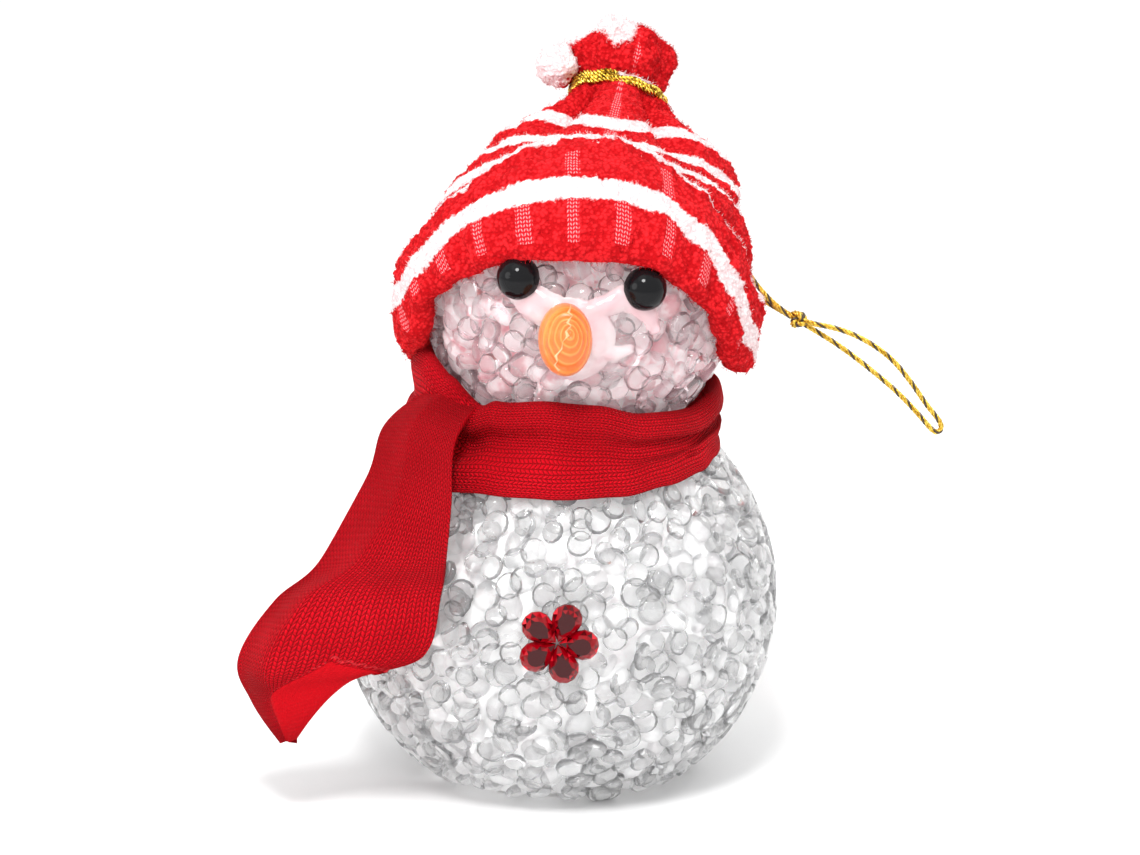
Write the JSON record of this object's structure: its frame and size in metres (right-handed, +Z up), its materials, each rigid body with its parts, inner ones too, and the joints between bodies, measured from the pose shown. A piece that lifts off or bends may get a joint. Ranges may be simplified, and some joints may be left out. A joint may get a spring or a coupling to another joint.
{
  "type": "light-up crystal snowman ornament",
  "caption": "Small snowman of clear fused pellets with knitted hat and scarf, a gold hanging loop and a plug-in lamp base with battery cover and slide switch.",
  "frame": {"origin": "centre of the base's resting face, on the body ball's vertical axis", "axes": "+Z up, the face looks along -Y, +X to the viewer's right"},
  "size_m": [0.104, 0.0679, 0.1095],
  "materials": {
    "crystal": "fused clear plastic pellets, glossy",
    "eye_black": "polished black half beads",
    "hot_glue": "milky clear hot-melt glue",
    "nose_orange": "waxy orange foam carrot",
    "flower_red": "faceted ruby-red acrylic",
    "hat_knit": "red and white fleecy knit",
    "gold_cord": "braided gold metallic cord",
    "scarf_knit": "fine red stockinette knit",
    "white_plastic": "moulded white plastic",
    "screw_steel": "zinc-plated steel",
    "cell_steel": "nickel-plated steel cans",
    "contact_metal": "nickel-plated spring steel",
    "switch_shell": "plated switch shell",
    "switch_black": "black moulded knob",
    "board_green": "green solder-masked board",
    "lamp_clear": "water-clear epoxy lens",
    "red_lead": "red insulated wire",
    "blue_lead": "blue insulated wire",
    "black_lead": "black insulated wire"
  },
  "bodies": {
    "snowman": {"crystal_body": "crystal", "crystal_head": "crystal", "left_eye": "eye_black", "right_eye": "eye_black", "eye_glue": "hot_glue", "carrot_nose": "nose_orange", "face_glue": "hot_glue", "flower_gem": "flower_red", "flower_glue": "hot_glue", "knit_hat": "hat_knit", "hat_tie": "gold_cord", "knit_scarf": "scarf_knit", "hanging_cord": "gold_cord", "cord_knot": "gold_cord", "base_housing": "white_plastic", "button_cell_1": "cell_steel", "button_cell_2": "cell_steel", "button_cell_3": "cell_steel", "positive_contact": "contact_metal", "negative_contact": "contact_metal", "switch_case": "switch_shell", "switch_terminals": "contact_metal", "circuit_board": "board_green", "lamp_lens": "lamp_clear", "lamp_legs": "contact_metal", "red_wire": "red_lead", "blue_wire": "blue_lead", "black_wire": "black_lead", "base_glue": "hot_glue"},
    "battery_cover_body": {"battery_cover": "white_plastic"},
    "cover_screw_body": {"cover_screw": "screw_steel"},
    "switch_knob_body": {"switch_knob": "switch_black"}
  },
  "joints": [
    {"name": "switch_slide", "type": "slide", "parent": "snowman", "child": "switch_knob_body", "axis": [1, 0, 0], "range_m": [0, 0.002]},
    {"name": "cover_lift", "type": "slide", "parent": "snowman", "child": "battery_cover_body", "axis": [0, 0, -1], "range_m": [0, 0.02]},
    {"name": "cover_screw_turn", "type": "hinge", "parent": "battery_cover_body", "child": "cover_screw_body", "pos_m": [0.0099, -0.007, 0], "axis": [0, 0, -1], "continuous": true}
  ]
}
